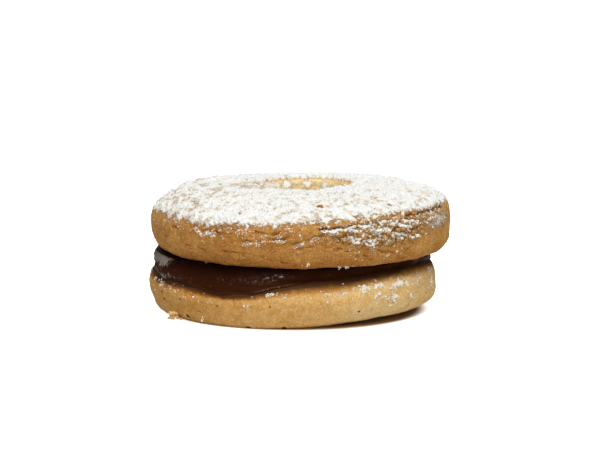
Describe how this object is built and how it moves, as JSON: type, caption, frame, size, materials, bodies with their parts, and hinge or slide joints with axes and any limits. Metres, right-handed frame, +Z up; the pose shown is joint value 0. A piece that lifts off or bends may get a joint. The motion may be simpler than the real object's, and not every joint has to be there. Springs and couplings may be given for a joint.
{
  "type": "vanilla sandwich cookie",
  "caption": "Round sandwich cookie: a thick vanilla ring biscuit dusted with icing sugar, on dark chocolate filling that bulges out over a whole biscuit. Food for display and handling.",
  "frame": {"origin": "under the middle of the bounding box, on the surface that the cookie rests on", "axes": "+Z up through the stack, -Y towards the front where the filling bulges out at the left, +X to the right"},
  "size_m": [0.0602, 0.0598, 0.0252],
  "materials": {
    "top_biscuit": "baked shortbread crumb, dry and matte, golden tan",
    "bottom_biscuit": "baked shortbread crumb, matte, paler and smoother than the ring",
    "chocolate": "dark chocolate cream, satin gloss with dusty patches",
    "icing_sugar": "fine icing sugar, powdery and fully matte"
  },
  "bodies": {
    "root": {"top_biscuit": "top_biscuit", "chocolate_filling": "chocolate", "bottom_biscuit": "bottom_biscuit"}
  },
  "joints": []
}
